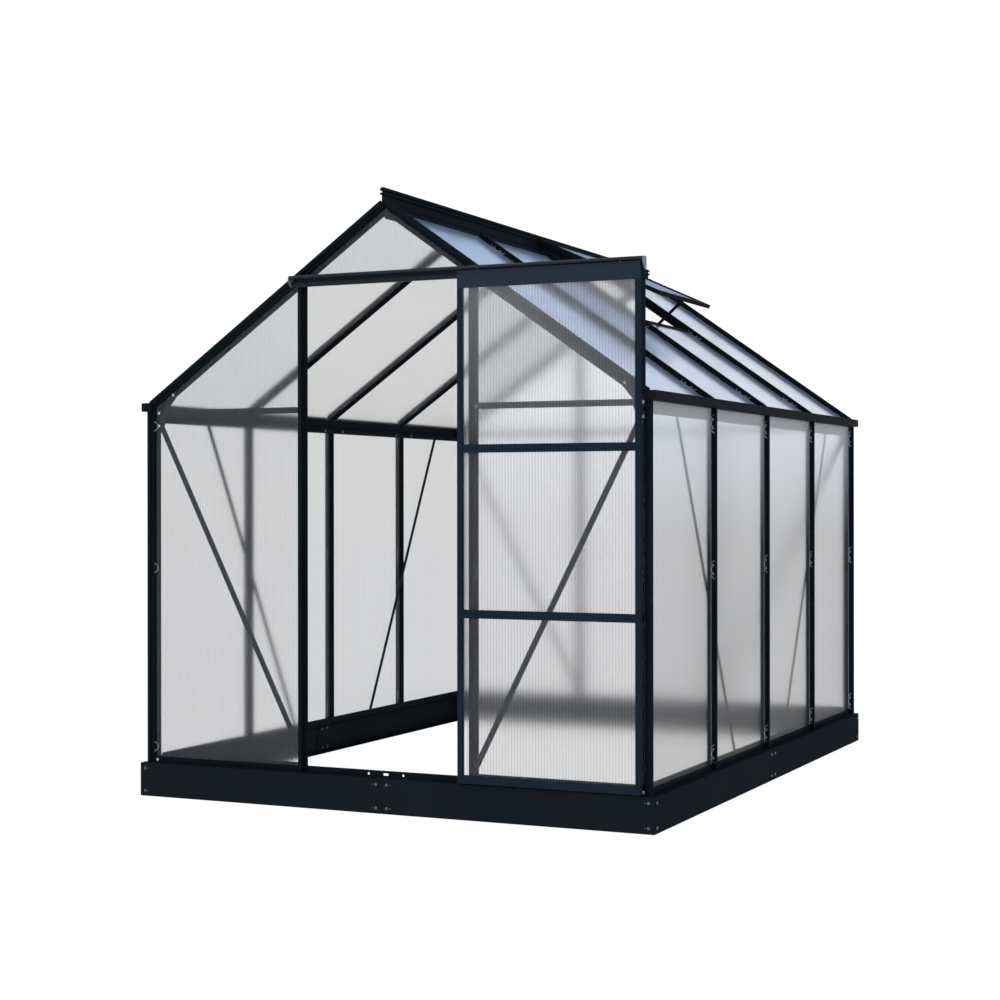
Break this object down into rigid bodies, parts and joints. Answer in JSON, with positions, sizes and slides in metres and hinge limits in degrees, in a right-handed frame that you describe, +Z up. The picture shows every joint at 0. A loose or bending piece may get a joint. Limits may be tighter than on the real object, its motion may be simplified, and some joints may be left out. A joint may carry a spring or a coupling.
{
  "type": "greenhouse",
  "caption": "Small gable-roofed greenhouse with a dark metal frame, translucent twin-wall panes, a sliding door hung from an overhead track and a propped roof vent on a folded steel base.",
  "frame": {"origin": "middle of the base's footprint, on the ground", "axes": "+Z up, +Y from the door end to the back along the ridge, +X to the right seen from the door"},
  "size_m": [1.924, 2.566, 2.075],
  "materials": {
    "coated_aluminium": "satin dark grey powder coat",
    "coated_steel_base": "satin dark grey coated sheet",
    "coated_flat_bars": "satin grey coated flat bar",
    "wall_sheet": "translucent twin-wall sheet",
    "roof_sheet": "translucent twin-wall sheet",
    "roller_nylon": "moulded nylon"
  },
  "bodies": {
    "house": {"base_front": "coated_steel_base", "base_rear": "coated_steel_base", "base_left": "coated_steel_base", "base_right": "coated_steel_base", "base_splice_plates": "coated_steel_base", "base_corner_angles": "coated_steel_base", "front_sill": "coated_aluminium", "rear_sill": "coated_aluminium", "left_sill": "coated_aluminium", "right_sill": "coated_aluminium", "corner_posts": "coated_aluminium", "door_posts": "coated_aluminium", "rear_posts": "coated_aluminium", "left_wall_bars": "coated_aluminium", "right_wall_bars": "coated_aluminium", "left_gutter": "coated_aluminium", "right_gutter": "coated_aluminium", "gutter_end_caps": "coated_aluminium", "ridge_beam": "coated_aluminium", "front_rafters": "coated_aluminium", "rear_rafters": "coated_aluminium", "left_roof_bars": "coated_aluminium", "right_roof_bars": "coated_aluminium", "door_lintel": "coated_aluminium", "door_track": "coated_aluminium", "track_strut": "coated_aluminium", "vent_lintel": "coated_aluminium", "vent_frame": "coated_aluminium", "vent_stay": "coated_aluminium", "gable_crossbars": "coated_flat_bars", "corner_gussets": "coated_flat_bars", "gable_braces": "coated_flat_bars", "wall_braces": "coated_flat_bars", "front_gable_panes": "wall_sheet", "rear_gable_panes": "wall_sheet", "left_wall_panes": "wall_sheet", "right_wall_panes": "wall_sheet", "left_roof_panes": "roof_sheet", "right_roof_panes": "roof_sheet", "vent_pane": "roof_sheet"},
    "door": {"door_stiles": "coated_aluminium", "door_rails": "coated_aluminium", "door_header": "coated_aluminium", "door_panes": "wall_sheet", "door_rollers": "roller_nylon"}
  },
  "joints": [
    {"name": "door_slide", "type": "slide", "parent": "house", "child": "door", "axis": [-1, 0, 0], "range_m": [0, 0.6]}
  ]
}
